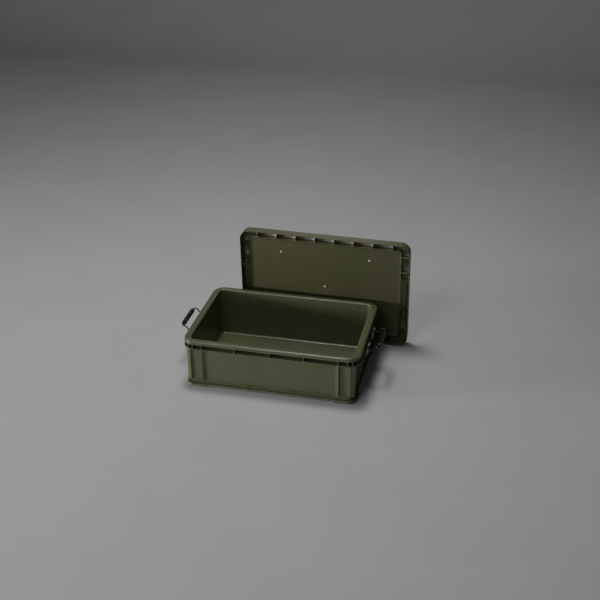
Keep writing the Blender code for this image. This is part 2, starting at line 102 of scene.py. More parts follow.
# Plans (x, y) in one quarter of the tote: the sloped rib, and the strip at the corner post
SLOPED_RIB = (
    (0.1975, 0.1705), (0.1985, 0.1728), (0.2075, 0.1798),
    (0.2105, 0.1798), (0.2140, 0.1728), (0.2145, 0.1705),
)
CORNER_STRIP = (
    (0.2375, 0.1705), (0.2380, 0.1728), (0.2430, 0.1788), (0.2480, 0.1780),
    (0.2558, 0.1712), (0.2570, 0.1650), (0.2540, 0.1640), (0.2480, 0.1690),
)

# Ledge round the foot of the skin, and the corner feet: half sizes and corner radius of each and
# of its root inside the skin, and heights
LEDGE = (0.2568, 0.1762, 0.022)
LEDGE_ROOT = (0.2480, 0.1680, 0.010)
LEDGE_Z = (0.0020, 0.0078)
FOOT = (0.2635, 0.1795, 0.026)
FOOT_ROOT = (0.2462, 0.1655, 0.009)
FOOT_TOP = 0.0070
FOOT_GAP_X = 0.195
FOOT_GAP_Y = 0.118
BAND_ROUND = 0.0022

# Pads that carry the handle brackets, their stiffeners and the lugs that stop the bail's arms
PAD_FACE_X = 0.2713
PAD_THICK = 0.0033
PAD_BOTTOM = 0.100
PAD_Y = (0.0375, 0.0605)
PAD_RIB_Y = (0.0382, 0.0573)
LUG_FACE_X = 0.2733
LUG_Y = (0.0546, 0.0600)
LUG_Z = (0.1190, 0.1275)

# Handles. The arm's path is (outwards, up) from the hinge axis
WIRE = 0.002
ARM_Y = 0.057
PIN_END_Y = 0.038
REACH = 0.0315
GRIP_LENGTH = 0.092
GRIP_WIDTH = 0.0175
GRIP_THICK = 0.0130
GRIP_KNOBS = 5
GRIP_COLLAR = 0.0045
GRIP_END_ROUND = 0.0022
BAIL_ARM = (
    (0.0005, -0.0065), (0.0026, -0.0120), (0.0075, -0.0150), (0.0120, -0.0120),
    (0.0160, -0.0068), (0.0210, -0.0018), (0.0260, -0.0001),
)
KNUCKLE_BORE = 0.00235
KNUCKLE_SWEEP = math.radians(325)
BRACKET_THICK = 0.0015
BRACKET_Y = 0.046
BRACKET_WIDE = 0.013
RIVET_HOLE = 0.0022
RIVET_SHANK = 0.00185
RIVET_SEAT = 0.0003
RIVET_HEAD = 0.0034
RIVET_DOME = 0.0014
RIVET_INNER_HEAD = ((0.0, 0.0030), (0.0008, 0.0029), (0.0013, 0.0018), (0.0014, 0.0))

# Lid, in its own frame: U along it, V across it, W from the skirt edge to the top
LID_HALF_U = 0.27275
LID_HALF_V = 0.18225
LID_DEPTH = 0.031
LID_CORNER = 0.032
LID_WALL = 0.0022
LID_PANEL = 0.018
PANEL_THICK = 0.0023
BORDER_LONG = 0.025
BORDER_SHORT = 0.028
NOTCH_HALF = 0.053
NOTCH_RIM = 0.0105
NOTCH_WALL = 0.0015
NOTCH_CHEEK = 0.0024
NOTCH_FLOOR = 0.0018
LONG_RIBS = (0.031, 0.093, 0.155, 0.217)
SHORT_RIBS = (0.080, 0.133)
LID_RIB_HALF = 0.0011
SLOT_RIB_V = (0.0106, 0.0124)
SLOT_END_V = 0.0400
LID_YAW = math.radians(-1.2)
LID_LEAN = math.radians(2.7)
ROOF_UNDER = LID_DEPTH - 0.0025
PANEL_TOP = LID_PANEL + PANEL_THICK
RECESS_U = LID_HALF_U - BORDER_SHORT
RECESS_V = LID_HALF_V - BORDER_LONG

# Rings of the lid's section: inset from the recess's half sizes, corner radius and height W. First
# from under the panel up to the roof, then from the lid's top down the recess to the panel
LID_UNDERSIDE = (
    (0.0110, 0.0080, LID_PANEL),
    (0.0034, 0.0090, LID_PANEL),
    (0.0026, 0.0092, LID_PANEL - 0.0009),
    (0.0012, 0.0100, LID_PANEL - 0.0013),
    (0.0003, 0.0108, LID_PANEL - 0.0008),
    (0.0, 0.0110, LID_PANEL + 0.0002),
    (0.0, 0.0110, ROOF_UNDER),
)
LID_RECESS = (
    (-0.0010, 0.0120, LID_DEPTH),
    (0.0010, 0.0105, LID_DEPTH - 0.0002),
    (0.0023, 0.0095, LID_DEPTH - 0.0013),
    (0.0026, 0.0090, PANEL_TOP + 0.0014),
    (0.0032, 0.0085, PANEL_TOP + 0.0004),
    (0.0044, 0.0080, PANEL_TOP),
    (0.0110, 0.0080, PANEL_TOP),
)
LID_EDGE_ROUND = 0.003

# Gate marks on the panel's underside: places of the outer four, and the profile (out, radius)
GATE_U = 0.143
GATE_V = 0.110
GATE_PROFILE = (
    (-0.0004, 0.0), (-0.0004, 0.0034), (0.0002, 0.0034), (0.0005, 0.0028),
    (0.0005, 0.0019), (0.0011, 0.0015), (0.0013, 0.0),
)

# Small rounding of every edge, and the steps of the larger roundings
TOTE_EASE = 0.00035
LID_EASE = 0.0003
STEEL_EASE = 0.00022
CORNER_STEPS = 14
ROUND_STEPS = 6
SIDES = (("left", -1), ("right", 1))

# Lights all point here
STUDIO_AIM = Vector((0.0, 0.0, 0.1))


# ---------------------------------------------------------------- materials


class Nodes:
    """A small helper that adds and links the nodes of one material."""

    def __init__(self, name):
        self.material = bpy.data.materials.new(name)
        self.material.use_nodes = True
        self.tree = self.material.node_tree
        self.shader = self.tree.nodes["Principled BSDF"]
        self.place = self.tree.nodes.new("ShaderNodeTexCoord").outputs["Object"]

    def add(self, kind, **values):
        """A new node with the given properties."""
        node = self.tree.nodes.new(kind)
        for key, value in values.items():
            setattr(node, key, value)
        return node

    def link(self, source, target):
        self.tree.links.new(source, target)

    def noise(self, scale, detail=4.0, roughness=0.55, stretch=(1, 1, 1)):
        """Noise of so many cells a metre, which may be stretched along an axis."""
        mapping = self.add("ShaderNodeMapping")
        mapping.inputs["Scale"].default_value = stretch
        self.link(self.place, mapping.inputs["Vector"])
        node = self.add("ShaderNodeTexNoise")
        node.inputs["Scale"].default_value = scale
        node.inputs["Detail"].default_value = detail
        node.inputs["Roughness"].default_value = roughness
        self.link(mapping.outputs["Vector"], node.inputs["Vector"])
        return node.outputs["Fac"]

    def ramp(self, source, stops):
        """Colours or levels (position, value) along a factor."""
        node = self.add("ShaderNodeValToRGB")
        elements = node.color_ramp.elements
        while len(elements) < len(stops):
            elements.new(0.5)
        for element, (position, value) in zip(elements, stops):
            element.position = position
            element.color = (*(value if isinstance(value, tuple) else (value,) * 3), 1.0)
        self.link(source, node.inputs["Fac"])
        return node.outputs["Color"]

    def mix(self, first, second, factor, blend="MIX"):
        """Two colours mixed: sockets 0, 6 and 7 are the factor and the colours of an RGBA mix."""
        node = self.add("ShaderNodeMix", data_type="RGBA", blend_type=blend)
        for number, value in ((0, factor), (6, first), (7, second)):
            socket = node.inputs[number]
            if isinstance(value, bpy.types.NodeSocket):
                self.link(value, socket)
            elif isinstance(value, tuple):
                socket.default_value = (*value, 1.0)
            else:
                socket.default_value = value
        return node.outputs[2]

    def bump(self, layers):
        """Bumps (height, strength, metres) one on the other, into the shader's normal."""
        normal = None
        for height, strength, distance in layers:
            node = self.add("ShaderNodeBump")
            node.inputs["Strength"].default_value = strength
            node.inputs["Distance"].default_value = distance
            self.link(height, node.inputs["Height"])
            if normal:
                self.link(normal, node.inputs["Normal"])
            normal = node.outputs["Normal"]
        self.link(normal, self.shader.inputs["Normal"])


def tinted(color, share):
    """The colour made darker or lighter."""
    return tuple(channel * share for channel in color)


def moulded_plastic(name, color, roughness=0.30):
    """Olive polypropylene: faint flow mottling, fine spark-eroded grain and pale scuffs in patches."""
    made = Nodes(name)
    flow_tones = [(0.30, tinted(color, 0.95)), (0.70, tinted(color, 1.05))]
    flow = made.ramp(made.noise(5, 3, 0.5, (1, 1, 0.35)), flow_tones)
    speckle = made.ramp(made.noise(420, 2), [(0.35, 0.95), (0.65, 1.05)])
    body = made.mix(flow, speckle, 1.0, "MULTIPLY")
    scuff_lines = made.ramp(made.noise(90, 3, 0.7, (0.25, 1, 3.2)), [(0.66, 0.0), (0.78, 1.0)])
    scuff_places = made.ramp(made.noise(9, 3), [(0.50, 0.0), (0.70, 0.06)])
    scuffs = made.mix(scuff_lines, scuff_places, 1.0, "MULTIPLY")
    pale = (color[0] * 1.5 + 0.02, color[1] * 1.5 + 0.02, color[2] * 1.6 + 0.02)
    made.link(made.mix(body, pale, scuffs), made.shader.inputs["Base Color"])
    gloss = made.ramp(made.noise(26, 4), [(0.30, roughness - 0.02), (0.72, roughness + 0.03)])
    made.link(gloss, made.shader.inputs["Roughness"])
    made.shader.inputs["Specular IOR Level"].default_value = 0.65
    made.bump([(made.noise(7, 2), 0.35, 0.0008), (made.noise(1500, 2), 0.16, 0.00008)])
    return made.material


def coated_wire(name):
    """Black dip coating on steel wire: slightly wavy, rubbed grey in places."""
    made = Nodes(name)
    tones = [(0.60, (0.011, 0.011, 0.012)), (0.76, (0.045, 0.045, 0.047))]
    rubbed = made.ramp(made.noise(160, 4, 0.6), tones)
    made.link(rubbed, made.shader.inputs["Base Color"])
    made.link(made.ramp(made.noise(240, 3), [(0.3, 0.24), (0.7, 0.42)]), made.shader.inputs["Roughness"])
    made.shader.inputs["Coat Weight"].default_value = 0.3
    made.bump([(made.noise(320, 3), 0.25, 0.0002)])
    return made.material


def grip_plastic(name):
    """Black moulded plastic: glossy, with duller patches and a fine grain."""
    made = Nodes(name)
    made.link(made.ramp(made.noise(200, 4), [(0.3, (0.005, 0.005, 0.006)), (0.75, (0.011, 0.011, 0.012))]),
              made.shader.inputs["Base Color"])
    made.link(made.ramp(made.noise(130, 3), [(0.3, 0.13), (0.7, 0.22)]), made.shader.inputs["Roughness"])
    made.shader.inputs["Specular IOR Level"].default_value = 0.4
    made.bump([(made.noise(1400, 2), 0.2, 0.00008)])
    return made.material


def plated_steel(name, tone):
    """Bright zinc plating: brushed grain and cloudy passivation."""
    made = Nodes(name)
    clouds = made.ramp(made.noise(120, 4), [(0.3, tinted(tone, 0.72)), (0.7, tone)])
    brushed = made.noise(900, 2, 0.5, (1, 0.08, 1))
    grain = made.ramp(brushed, [(0.3, 0.88), (0.7, 1.05)])
    made.link(made.mix(clouds, grain, 1.0, "MULTIPLY"), made.shader.inputs["Base Color"])
    made.shader.inputs["Metallic"].default_value = 1.0
    made.link(made.ramp(made.noise(200, 3), [(0.3, 0.22), (0.75, 0.42)]), made.shader.inputs["Roughness"])
    made.bump([(brushed, 0.15, 0.00005)])
    return made.material


def gate_plastic(name):
    """The pale torn stub that the hot runner leaves."""
    made = Nodes(name)
    made.link(made.ramp(made.noise(900, 3), [(0.3, (0.42, 0.38, 0.22)), (0.7, (0.70, 0.66, 0.46))]),
              made.shader.inputs["Base Color"])
    made.shader.inputs["Roughness"].default_value = 0.5
    made.bump([(made.noise(1600, 3), 0.5, 0.0002)])
    return made.material


# ---------------------------------------------------------------- mesh tools


def add_object(name, builder, finish=None):
    """Turns a finished bmesh into an object of the scene."""
    bmesh.ops.recalc_face_normals(builder, faces=builder.faces)
    mesh = bpy.data.meshes.new(name)
    builder.to_mesh(mesh)
    builder.free()
    made = bpy.data.objects.new(name, mesh)
    bpy.context.scene.collection.objects.link(made)
    if finish:
        mesh.materials.append(finish)
    return made


def applied(obj):
    """Applies the object's modifiers."""
    graph = bpy.context.evaluated_depsgraph_get()
    mesh = bpy.data.meshes.new_from_object(obj.evaluated_get(graph))
    obj.modifiers.clear()
    obj.data = mesh


def combine(target, tool, operation):
    """A Boolean of the target with a tool, which is used up."""
    modifier = target.modifiers.new(operation.lower(), "BOOLEAN")
    modifier.operation = operation
    modifier.object = tool
    modifier.solver = "EXACT"
    applied(target)
    bpy.data.objects.remove(tool)


def eased(obj, width):
    """Small round edges, shaded smooth, with the flat faces' normals kept flat."""
    bevel = obj.modifiers.new("eased_edges", "BEVEL")
    bevel.width = width
    bevel.segments = 2
    bevel.limit_method = "ANGLE"
    bevel.angle_limit = math.radians(35)
    applied(obj)
    obj.data.shade_smooth()
    obj.data.set_sharp_from_angle(angle=math.radians(50))
    weighted = obj.modifiers.new("even_normals", "WEIGHTED_NORMAL")
    weighted.keep_sharp = True
    weighted.weight = 100
    applied(obj)


def rounded_ring(builder, half_x, half_y, radius, z):
    """Vertices round a rectangle with rounded corners."""
    ring = []
    for corner in range(4):
        sign_x = 1 if corner in (0, 3) else -1
        sign_y = 1 if corner in (0, 1) else -1
        centre = Vector((sign_x * (half_x - radius), sign_y * (half_y - radius), z))
        for step in range(CORNER_STEPS + 1):
            turn = math.pi / 2 * (corner + step / CORNER_STEPS)
            ring.append(builder.verts.new(centre + radius * Vector((math.cos(turn), math.sin(turn), 0))))
    return ring


def bridge(builder, first, second):
    """Faces between two rings of as many vertices."""
    count = len(first)
    for i in range(count):
        j = (i + 1) % count
        builder.faces.new((first[i], first[j], second[j], second[i]))


def lofted(name, sections, hollow=False):
    """A solid through rounded rectangles (half x, half y, corner, z), or a closed hoop when hollow."""
    builder = bmesh.new()
    rings = [rounded_ring(builder, *section) for section in sections]
    for first, second in zip(rings, rings[1:]):
        bridge(builder, first, second)
    if hollow:
        bridge(builder, rings[-1], rings[0])
    else:
        builder.faces.new(rings[0])
        builder.faces.new(rings[-1])
    return add_object(name, builder)


def half_round(half_x, half_y, corner, low, radius):
    """Sections of a half-round bead that reaches out to the half sizes."""
    sections = []
    for step in range(ROUND_STEPS + 1):
        turn = math.pi * step / ROUND_STEPS - math.pi / 2
        inset = radius * (1 - math.cos(turn))
        z = low + radius * (1 + math.sin(turn))
        sections.append((half_x - inset, half_y - inset, corner - inset, z))
    return sections


def inset_rings(half_x, half_y, table):
    """Sections from rows of (inset, corner radius, height)."""
    return [(half_x - inset, half_y - inset, corner, z) for inset, corner, z in table]


def boxes(name, extents):
    """Boxes on extents ((x, x), (y, y), (z, z)) in one object."""
    builder = bmesh.new()
    for extent in extents:
        low = Vector(min(pair) for pair in extent)
        high = Vector(max(pair) for pair in extent)
        place = Matrix.Translation((low + high) / 2) @ Matrix.Diagonal((*(high - low), 1.0))
        bmesh.ops.create_cube(builder, size=1.0, matrix=place)
    return add_object(name, builder)


def mirrored(extents, flip_x=True, flip_y=True):
    """The extents with their mirror images about x = 0, y = 0 or both."""
    found = []
    for xs, ys, zs in extents:
        for sign_x in (1, -1) if flip_x else (1,):
            for sign_y in (1, -1) if flip_y else (1,):
                found.append(([sign_x * v for v in xs], [sign_y * v for v in ys], zs))
    return found


def cylinder(name, radius, depth, place, steps=32):
    """A cylinder along the Z axis of a place."""
    builder = bmesh.new()
    bmesh.ops.create_cone(
        builder, cap_ends=True, segments=steps, radius1=radius, radius2=radius, depth=depth, matrix=place
    )
    return add_object(name, builder)


def along_x(x, y, z):
    """A place whose Z axis lies along X."""
    return Matrix.Translation((x, y, z)) @ Matrix.Rotation(math.pi / 2, 4, "Y")


def spun(name, profile, finish, steps=32):
    """A turned piece about X from a profile of (x, radius)."""
    builder = bmesh.new()
    spine = [builder.verts.new((x, 0, r)) for x, r in profile]
    edges = [builder.edges.new(pair) for pair in zip(spine, spine[1:])]
    turn = 2 * math.pi
    bmesh.ops.spin(builder, geom=spine + edges, cent=(0, 0, 0), axis=(1, 0, 0), angle=turn, steps=steps)
    bmesh.ops.remove_doubles(builder, verts=builder.verts, dist=0.000005)
    made = add_object(name, builder, finish)
    made.data.shade_smooth()
    made.data.set_sharp_from_angle(angle=math.radians(40))
    return made


def belongs(piece, body, slot, *nodes):
    """The piece rides on a body and stands for CAD nodes. The slot is not used."""
    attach(piece, body)
    if nodes:
        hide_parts(*nodes)


# ---------------------------------------------------------------- tote


def outer_tub():
    """The inner tub's outer faces and the lip turned out and down from it, still solid."""
    in_x = HALF_X - LIP_WIDTH_END
    in_y = HALF_Y - LIP_WIDTH
    under_lip = HEIGHT - WALL
    lip_bottom = HEIGHT - LIP_DROP
    sections = [
        (FOOT_HALF_X - 0.008, FOOT_HALF_Y - 0.008, 0.008, FLOOR_TOP - WALL),
        (FOOT_HALF_X + 0.001, FOOT_HALF_Y + 0.001, 0.012, FLOOR_TOP - WALL + 0.003),
        (FOOT_HALF_X + WALL, FOOT_HALF_Y + WALL, 0.015, FLOOR_TOP + 0.005),
        (in_x + WALL, in_y + WALL - 0.0005, INNER_CORNER + WALL, under_lip),
        (HALF_X - 0.0034, HALF_Y - 0.0034, LIP_CORNER - 0.003, under_lip),
        (HALF_X - 0.0030, HALF_Y - 0.0030, LIP_CORNER - 0.003, lip_bottom + 0.0004),
        (HALF_X - 0.0022, HALF_Y - 0.0022, LIP_CORNER - 0.002, lip_bottom),
    ]
    # The bead along the lip's lower edge, then the lip's face set back from it up to the round rim
    sections += half_round(HALF_X, HALF_Y, LIP_CORNER, lip_bottom, LIP_BEAD)
    for step in range(ROUND_STEPS + 1):
        turn = math.pi / 2 * step / ROUND_STEPS
        inset = LIP_SETBACK + RIM_ROUND * (1 - math.cos(turn))
        z = HEIGHT - RIM_ROUND + RIM_ROUND * math.sin(turn)
        sections.append((HALF_X - inset, HALF_Y - inset, LIP_CORNER - inset, z))
    return lofted("tote_shell", sections)


def cavity():
    """The tote's inside, with its rim rounded over and a fillet round the floor."""
    in_x = HALF_X - LIP_WIDTH_END
    in_y = HALF_Y - LIP_WIDTH
    sections = [(in_x + 0.0090, in_y + 0.0090, INNER_CORNER + 0.009, HEIGHT + 0.0020)]
    for step in range(ROUND_STEPS + 1):
        turn = math.pi / 2 * step / ROUND_STEPS
        out = RIM_ROUND * (1 - math.sin(turn))
        z = HEIGHT - RIM_ROUND * (1 - math.cos(turn))
        sections.append((in_x + out, in_y + out, INNER_CORNER + out, z))
    floor_corner = 0.013
    floor_steps = 5
    for step in range(floor_steps + 1):
        turn = math.pi / 2 * step / floor_steps
        inset = FLOOR_FILLET * (1 - math.cos(turn))
        z = FLOOR_TOP + FLOOR_FILLET * (1 - math.sin(turn))
        sections.append((FOOT_HALF_X - inset, FOOT_HALF_Y - inset, floor_corner - inset / 2, z))
    return lofted("cavity", sections)


def flange():
    """The flange below the lip, with a half-round outer edge."""
    out_x = HALF_X + FLANGE_PROUD
    out_y = HALF_Y + FLANGE_PROUD
    low = FLANGE_TOP - FLANGE_THICK
    edge = half_round(out_x, out_y, FLANGE_CORNER, low, FLANGE_THICK / 2)
    return lofted("flange", [(*FLANGE_ROOT, low), *edge, (*FLANGE_ROOT, FLANGE_TOP)], hollow=True)


def skin():
    """The outer skin, stepped in at its foot, with its end walls opened between the corner posts."""
    top = FLANGE_TOP - 0.0012
    foot_x = SKIN_HALF_X - SKIN_TAPER_X
    foot_y = SKIN_HALF_Y - SKIN_TAPER_Y
    base_x = foot_x - BASE_STEP
    base_y = foot_y - BASE_STEP
    thick = SKIN_THICK
    corner = SKIN_CORNER
    made = lofted(
        "skin",
        [
            (SKIN_HALF_X, SKIN_HALF_Y, corner, top),
            (foot_x, foot_y, corner, SKIN_BOTTOM),
            (foot_x - 0.0008, foot_y - 0.0008, corner, SKIN_BOTTOM - 0.0008),
            (base_x, base_y, corner, SKIN_BOTTOM - 0.0018),
            (base_x - 0.0006, base_y - 0.0006, corner, BASE_BOTTOM + 0.0012),
            (base_x - 0.0018, base_y - 0.0018, corner - 0.001, BASE_BOTTOM),
            (base_x - thick, base_y - thick, corner - 0.002, BASE_BOTTOM),
            (base_x - thick, base_y - thick, corner - 0.002, SKIN_BOTTOM - 0.001),
            (foot_x - thick, foot_y - thick, corner - 0.002, SKIN_BOTTOM + 0.002),
            (SKIN_HALF_X - thick, SKIN_HALF_Y - thick, corner - 0.002, top),
        ],
        hollow=True,
    )
    opening = (END_CUT_X, END_CUT_Y, (SKIN_BOTTOM + 0.004, FLANGE_TOP - FLANGE_THICK - 0.002))
    combine(made, boxes("end_opening", mirrored([opening], flip_y=False)), "DIFFERENCE")
    return made


def end_ribs():
    """Upright ribs in the end walls' openings, and the edges of the corner posts."""
    top = FLANGE_TOP - 0.0010
    low = SKIN_BOTTOM + 0.001
    extents = [(END_RIB_X, (y, y + RIB), (low, top)) for y in END_RIB_Y]
    extents.append(((END_RIB_X[0], SKIN_HALF_X - 0.0005), END_POST_Y, (low, top)))
    return boxes("end_ribs", mirrored(extents))


def lip_edge_y(x):
    """How far out the lip reaches at a place along its long side."""
    past = max(0.0, x - (HALF_X - LIP_CORNER))
    return HALF_Y - LIP_CORNER + math.sqrt(LIP_CORNER**2 - past**2)


def lip_webs():
    """Webs between the flange and the lip, round all four sides."""
    z = (FLANGE_TOP - 0.0015, HEIGHT - 0.0015)
    half = RIB / 2
    long_side = [
        ((x - half, x + half), (WEB_ROOT_Y, lip_edge_y(x + half) - WEB_INSET), z) for x in WEB_X
    ]
    middle = [((-half, half), (WEB_ROOT_Y, lip_edge_y(0) - WEB_INSET), z)]
    short_side = [((WEB_ROOT_X, HALF_X - WEB_INSET), (y - half, y + half), z) for y in WEB_Y]
    return boxes("lip_webs", mirrored(long_side) + mirrored(middle, flip_x=False) + mirrored(short_side))


def prisms(name, outlines, low, high):
    """Upright prisms on outlines of (x, y), one in each quarter of the tote."""
    builder = bmesh.new()
    for outline in outlines:
        for sign_x in (1, -1):
            for sign_y in (1, -1):
                ends = [
                    [builder.verts.new((sign_x * x, sign_y * y, z)) for x, y in outline] for z in (low, high)
                ]
                bridge(builder, *ends)
                builder.faces.new(ends[0])
                builder.faces.new(ends[1])
    return add_object(name, builder)


def side_ribs():
    """The sloped ribs of the long sides and the strips at the corner posts."""
    return prisms("side_ribs", (SLOPED_RIB, CORNER_STRIP), SKIN_BOTTOM + 0.0006, FLANGE_TOP - 0.0011)


def hollow_ribs():
    """Ribs that join the tub and the skin low in the hollow of the long sides."""
    half = RIB / 2
    sides = mirrored([((x - half, x + half), HOLLOW_RIB_Y, HOLLOW_RIB_Z) for x in HOLLOW_RIB_X])
    middle = mirrored([((-half, half), HOLLOW_RIB_Y, HOLLOW_RIB_Z)], flip_x=False)
    return boxes("hollow_ribs", sides + middle)


def base_details():
    """Small tabs low on the long sides."""
    return boxes("base_details", mirrored([(TAB_X, TAB_Y, TAB_Z)]))


def band(name, root, half_x, half_y, corner, low, high):
    """A band round the foot of the skin, with a round outer edge."""
    steps = 4
    sections = [(*root, low)]
    for centre, start in ((low + BAND_ROUND, -math.pi / 2), (high - BAND_ROUND, 0)):
        for step in range(steps + 1):
            turn = start + math.pi / 2 * step / steps
            inset = BAND_ROUND * (1 - math.cos(turn))
            z = centre + BAND_ROUND * math.sin(turn)
            sections.append((half_x - inset, half_y - inset, corner - inset, z))
    sections.append((*root, high))
    return lofted(name, sections, hollow=True)


def feet():
    """Corner feet: a band cut away between the corners by boxes that reach past it."""
    made = band("feet", FOOT_ROOT, *FOOT, 0.0, FOOT_TOP)
    gaps = [
        ((-FOOT_GAP_X, FOOT_GAP_X), (-0.2, 0.2), (-0.01, 0.02)),
        ((-0.3, 0.3), (-FOOT_GAP_Y, FOOT_GAP_Y), (-0.02, 0.03)),
    ]
    combine(made, boxes("foot_gaps", gaps), "DIFFERENCE")
    return made


def handle_pads():
    """Pads that carry the handle brackets, with a lug on each that stops the bail's arm."""
    top = FLANGE_TOP - 0.0007
    plates = [((PAD_FACE_X - PAD_THICK, PAD_FACE_X), PAD_Y, (PAD_BOTTOM, top))]
    rib_x = (END_RIB_X[0] + 0.0005, PAD_FACE_X - 0.001)
    rib_z = (PAD_BOTTOM + 0.0006, top - 0.0005)
    stiffeners = [(rib_x, (y, y + RIB), rib_z) for y in PAD_RIB_Y]
    lugs = [((PAD_FACE_X - 0.001, LUG_FACE_X), LUG_Y, LUG_Z)]
    made = boxes("handle_pads", mirrored(plates))
    combine(made, boxes("stiffeners", mirrored(stiffeners)), "UNION")
    combine(made, boxes("lugs", mirrored(lugs)), "UNION")
    return made


def tote(finish, rivet_places):
    """The whole moulding: the solids joined, the inside cut out, then the rivet holes."""
    body = outer_tub()
    ledge = band("ledge", LEDGE_ROOT, *LEDGE, *LEDGE_Z)
    lower = (skin(), flange(), end_ribs(), side_ribs(), hollow_ribs(), base_details(), ledge, feet())
    for piece in (*lower, lip_webs(), handle_pads()):
        combine(body, piece, "UNION")
    combine(body, cavity(), "DIFFERENCE")
    hole_depth = 0.007
    for x, y, z in rivet_places:
        side = math.copysign(1, x)
        hole = cylinder("hole", RIVET_HOLE, hole_depth, along_x(side * (PAD_FACE_X - 0.0015), y, z))
        combine(body, hole, "DIFFERENCE")
    body.data.materials.clear()
    body.data.materials.append(finish)
    eased(body, TOTE_EASE)
    belongs(body, "tote", "olive_plastic", "tote_body")


# ---------------------------------------------------------------- lid


def lid_axes():
    """The turn from the lid's U, V and W axes to the frame's: it stands on its long edge and leans."""
    along = Vector((math.cos(LID_YAW), math.sin(LID_YAW), 0))
    away = Vector((-math.sin(LID_YAW), math.cos(LID_YAW), 0))
    rise = Vector((0, 0, math.cos(LID_LEAN))) - away * math.sin(LID_LEAN)
    outward = along.cross(rise)
    return Matrix((along, rise, -outward)).transposed().to_4x4()


def lid_shell():
    """The lid without its notches and ribs: panel, recess, border channel and skirt."""
    corner = LID_CORNER
    inner_u = LID_HALF_U - LID_WALL
    inner_v = LID_HALF_V - LID_WALL
    sections = inset_rings(RECESS_U, RECESS_V, LID_UNDERSIDE)
    sections += [
        (inner_u - 0.0014, inner_v - 0.0014, corner - 0.003, ROOF_UNDER),
        (inner_u, inner_v, corner - 0.002, 0.0006),
        (inner_u + 0.0005, inner_v + 0.0005, corner - 0.002, 0.0),
        (LID_HALF_U - 0.0005, LID_HALF_V - 0.0005, corner, 0.0),
        (LID_HALF_U, LID_HALF_V, corner, 0.0006),
    ]
    for step in range(ROUND_STEPS + 1):
        turn = math.pi / 2 * step / ROUND_STEPS
        inset = 0.0010 + LID_EDGE_ROUND * (1 - math.cos(turn))
        z = LID_DEPTH - LID_EDGE_ROUND * (1 - math.sin(turn))
        sections.append((LID_HALF_U - inset, LID_HALF_V - inset, corner - inset, z))
    return lofted("lid_shell", sections + inset_rings(RECESS_U, RECESS_V, LID_RECESS))


def lid(finish):
    """The lid in its own frame, then moved to where the CAD lid stands. Returns that place."""
    made = lid_shell()
    block = (
        (RECESS_U - 0.0012, LID_HALF_U - NOTCH_RIM + NOTCH_WALL),
        (-NOTCH_HALF - NOTCH_CHEEK, NOTCH_HALF + NOTCH_CHEEK),
        (LID_PANEL + 0.0001, LID_DEPTH - 0.0004),
    )
    combine(made, boxes("notch_blocks", mirrored([block], flip_y=False)), "UNION")
    cut = (
        (RECESS_U - 0.0060, LID_HALF_U - NOTCH_RIM),
        (-NOTCH_HALF, NOTCH_HALF),
        (PANEL_TOP + NOTCH_FLOOR, LID_DEPTH + 0.01),
    )
    combine(made, boxes("notch_cuts", mirrored([cut], flip_y=False)), "DIFFERENCE")
    rib_w = (LID_PANEL - 0.0016, ROOF_UNDER + 0.0006)
    long_v = (RECESS_V - 0.0012, LID_HALF_V - 0.0016)
    short_u = (RECESS_U - 0.0012, LID_HALF_U - 0.0016)
    extents = [((u - LID_RIB_HALF, u + LID_RIB_HALF), long_v, rib_w) for u in LONG_RIBS]
    extents += [(short_u, (v - LID_RIB_HALF, v + LID_RIB_HALF), rib_w) for v in SHORT_RIBS]
    slot_u = (LID_HALF_U - NOTCH_RIM + NOTCH_WALL / 2, LID_HALF_U - 0.0017)
    slot_w = (LID_PANEL + 0.0010, ROOF_UNDER + 0.0006)
    extents += [(slot_u, v, slot_w) for v in (SLOT_RIB_V, (SLOT_END_V, NOTCH_HALF + 0.0015))]
    combine(made, boxes("lid_ribs", mirrored(extents)), "UNION")
    made.data.materials.clear()
    made.data.materials.append(finish)
    eased(made, LID_EASE)
    place = lid_axes()
    corners = [place @ vertex.co for vertex in made.data.vertices]
    low = Vector([min(corner[i] for corner in corners) for i in range(3)])
    high = Vector([max(corner[i] for corner in corners) for i in range(3)])
    cad_low, cad_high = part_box("lid")
    place = Matrix.Translation((cad_low + cad_high - low - high) / 2) @ place
    made.data.transform(place)
    belongs(made, "lid", "olive_lid_plastic", "lid")
    return place


def gate_marks(lid_place, finish):
    """Pale stubs on the panel's underside where the plastic was injected."""
    places = [(0, 0)] + [(u * GATE_U, v * GATE_V) for u in (-1, 1) for v in (-1, 1)]
    for number, (u, v) in enumerate(places):
        mark = spun(f"lid_gate_mark_{number + 1}", GATE_PROFILE, finish, 20)
        # The mark's X axis is turned to point out of the panel's underside
        turned = Matrix.Translation((u, v, LID_PANEL)) @ Matrix.Rotation(math.pi / 2, 4, "Y")
        mark.data.transform(lid_place @ turned)
        belongs(mark, "lid", "olive_lid_plastic")


# ---------------------------------------------------------------- handles


def smooth_path(points, steps):
    """A Catmull-Rom curve through the points."""
    ends = [points[0] * 2 - points[1], *points, points[-1] * 2 - points[-2]]
    found = []
    for i in range(1, len(ends) - 2):
        a, b, c, d = ends[i - 1 : i + 3]
        for step in range(steps):
            t = step / steps
            square = (2 * a - 5 * b + 4 * c - d) * t**2
            cube = (3 * b - a - 3 * c + d) * t**3
            found.append(0.5 * (2 * b + (c - a) * t + square + cube))
    found.append(points[-1])
    return found


